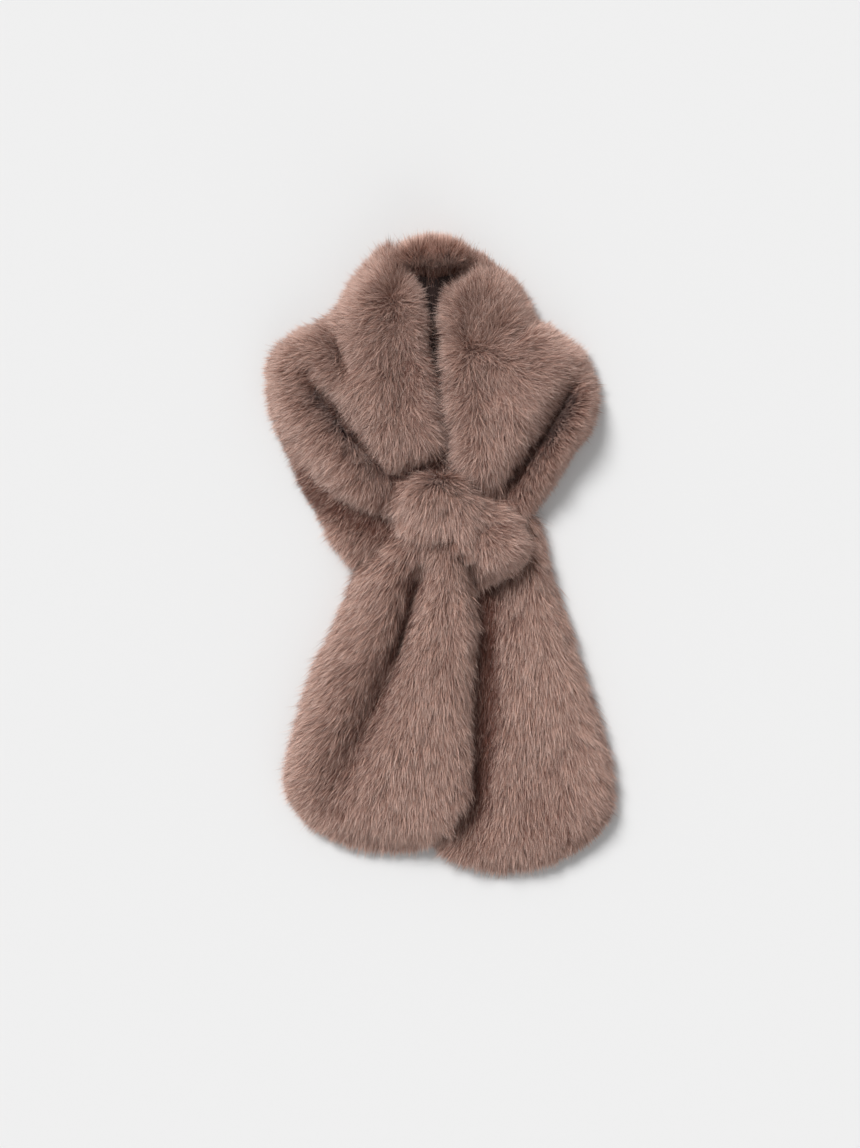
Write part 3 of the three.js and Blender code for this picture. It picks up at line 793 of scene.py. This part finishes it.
# ---- Finishes -------------------------------------------------------------------------------------------


def new_finish(name):
    """A material with an empty tree."""
    material = bpy.data.materials.new(name)
    material.use_nodes = True
    material.node_tree.nodes.clear()
    return material, material.node_tree


def coloured(ramp, stops):
    """A colour ramp's output, with these stops, each a place and an sRGB colour."""
    elements = ramp.color_ramp.elements
    while len(elements) < len(stops):
        elements.new(0.5)
    for element, (at, colour) in zip(elements, stops):
        element.position, element.color = at, linear(colour)
    return ramp.outputs["Color"]


def faux_fur():
    """Modacrylic faux fur pile, brushed: matt fibres, dark and dense at the root, dusty taupe at the tip."""
    material, tree = new_finish("modacrylic_faux_fur")
    place = add(tree, "ShaderNodeUVMap", {"uv_map": "OFBake"})
    split = add(tree, "ShaderNodeSeparateXYZ", Vector=place.outputs["UV"])
    ramp = add(tree, "ShaderNodeValToRGB", Fac=split.outputs["Y"])
    # Across the map: each strand's tone, its random tone with painted shade and painted light added.
    tint = add(tree, "ShaderNodeValToRGB", Fac=split.outputs["X"])
    mixed = add(
        tree,
        "ShaderNodeMix",
        {"data_type": "RGBA", "blend_type": "MULTIPLY", 0: 1.0},
        i6=coloured(ramp, [(0.0, "#5c3a30"), (0.35, "#a77f6f"), (0.7, "#d9b1a0"), (1.0, "#f6ddd1")]),
        i7=coloured(tint, [(0.0, "#7d5a4e"), (1.0, "#ffffff")]),
    )
    shader = add(
        tree,
        "ShaderNodeBsdfPrincipled",
        {"Roughness": 0.52, "Specular IOR Level": 0.35, "Sheen Weight": 0.18, "Sheen Roughness": 0.5},
        Base_Color=mixed.outputs[2],
    )
    add(tree, "ShaderNodeOutputMaterial", Surface=shader.outputs[0])
    return material


def knitted_backing():
    """Warp-knitted backing with short underfur: matt and dark, with the rows of the knit showing as grain."""
    material, tree = new_finish("knitted_fur_backing")
    place = add(tree, "ShaderNodeTexCoord")
    grain = add(
        tree,
        "ShaderNodeTexNoise",
        {"Scale": 1 / (KNIT_ROW * MM), "Detail": 3.0},
        Vector=place.outputs["Object"],
    )
    ramp = add(tree, "ShaderNodeValToRGB", Fac=grain.outputs["Fac"])
    bump = add(tree, "ShaderNodeBump", {"Strength": 0.6, "Distance": 0.6 * MM}, Height=grain.outputs["Fac"])
    shader = add(
        tree,
        "ShaderNodeBsdfPrincipled",
        {"Roughness": 0.85, "Specular IOR Level": 0.2},
        Base_Color=coloured(ramp, [(0.0, "#3d2a24"), (1.0, "#6a4c42")]),
        Normal=bump.outputs["Normal"],
    )
    add(tree, "ShaderNodeOutputMaterial", Surface=shader.outputs[0])
    return material


def satin_lining():
    """Polyester satin, woven and a little crushed: a sheen that breaks on small crinkles, painted highlights
    on them.
    """
    material, tree = new_finish("polyester_satin_lining")
    place = add(tree, "ShaderNodeTexCoord")
    crinkle_and_painted_highlight = add(
        tree,
        "ShaderNodeTexNoise",
        {"Scale": 1 / (CRINKLE * MM), "Detail": 3.0, "Distortion": 0.8},
        Vector=place.outputs["Object"],
    )
    # Painted highlights: the colour is lighter where the crinkle noise is high.
    ramp = add(tree, "ShaderNodeValToRGB", Fac=crinkle_and_painted_highlight.outputs["Fac"])
    bump = add(tree, "ShaderNodeBump", {"Strength": 0.8, "Distance": 1.5 * MM}, Height=crinkle_and_painted_highlight.outputs["Fac"])
    shader = add(
        tree,
        "ShaderNodeBsdfPrincipled",
        {"Roughness": 0.52, "Specular IOR Level": 0.2, "Anisotropic": 0.3, "Sheen Weight": 0.2},
        # Dark brown, partly the satin's own colour and partly painted shade of the throat slot.
        Base_Color=coloured(ramp, [(0.0, "#1f1513"), (1.0, "#3d2c28")]),
        Normal=bump.outputs["Normal"],
    )
    add(tree, "ShaderNodeOutputMaterial", Surface=shader.outputs[0])
    return material


def studio_floor():
    """Matt white paper sweep: an even pale ground that takes a soft shadow."""
    material, tree = new_finish("matt_white_paper")
    shader = add(
        tree,
        "ShaderNodeBsdfPrincipled",
        {"Base Color": linear("#e6e6e6"), "Roughness": 0.9, "Specular IOR Level": 0.1},
    )
    add(tree, "ShaderNodeOutputMaterial", Surface=shader.outputs[0])
    return material


# ---- Build ----------------------------------------------------------------------------------------------

fur_finish, backing_finish, lining_finish = faux_fur(), knitted_backing(), satin_lining()

meshes = {node: backing_mesh(node, row["pile"]) for node, row in PANELS.items()}
lining_sheet = lining_mesh()
floor_shape = bmesh.new()
bmesh.ops.create_grid(floor_shape, x_segments=1, y_segments=1, size=SWEEP_SIZE)
floor_mesh = bpy.data.meshes.new("table_sweep")
floor_shape.to_mesh(floor_mesh)
floor_shape.free()
everything = tree_of([*meshes.values(), lining_sheet])

for number, (node, row) in enumerate(PANELS.items()):
    random = np.random.default_rng(SEED + number)
    others = tree_of([*(mesh for name, mesh in meshes.items() if name != node), lining_sheet, floor_mesh])
    strands = coat(node, meshes[node], row["strands"], others, everything, random)
    fur = show("fur_" + node, strands, fur_finish)
    backing = show("backing_" + node, meshes[node], backing_finish)
    thickened(backing, BACKING_WALL)
    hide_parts(node)

lining = show("lining_neck", lining_sheet, lining_finish)
thickened(lining, LINING_WALL)
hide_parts("neck_lining")

# ---- Table, light and camera ----------------------------------------------------------------------------

floor = bpy.data.objects.new("table_sweep", floor_mesh)
bpy.context.scene.collection.objects.link(floor)
floor.data.materials.append(studio_floor())

world = bpy.data.worlds.new("studio")
bpy.context.scene.world = world
world.use_nodes = True
background = world.node_tree.nodes["Background"]
background.inputs["Color"].default_value = linear("#ffffff")
background.inputs["Strength"].default_value = SKY_STRENGTH

# A soft key from behind on the left, and a weak, low fill from the front.
LIGHTS = {
    "key": dict(energy=3.02, angle=20, towards=(-0.43, 0.57, 0.70)),
    "fill": dict(energy=0.60, angle=60, towards=(0.30, -0.85, 0.25)),
}
for name, row in LIGHTS.items():
    light = bpy.data.lights.new(name, "SUN")
    light.energy, light.angle = row["energy"], math.radians(row["angle"])
    light_holder = bpy.data.objects.new(name, light)
    light_holder.rotation_mode = "QUATERNION"
    light_holder.rotation_quaternion = Vector(row["towards"]).to_track_quat("Z", "Y")
    bpy.context.scene.collection.objects.link(light_holder)

camera = bpy.data.cameras.new("camera")
camera.lens = LENS
camera.sensor_width = SENSOR
holder = bpy.data.objects.new("camera", camera)
holder.location = CAMERA_PLACE
bpy.context.scene.collection.objects.link(holder)
bpy.context.scene.camera = holder
bpy.context.scene.view_settings.view_transform = "Standard"
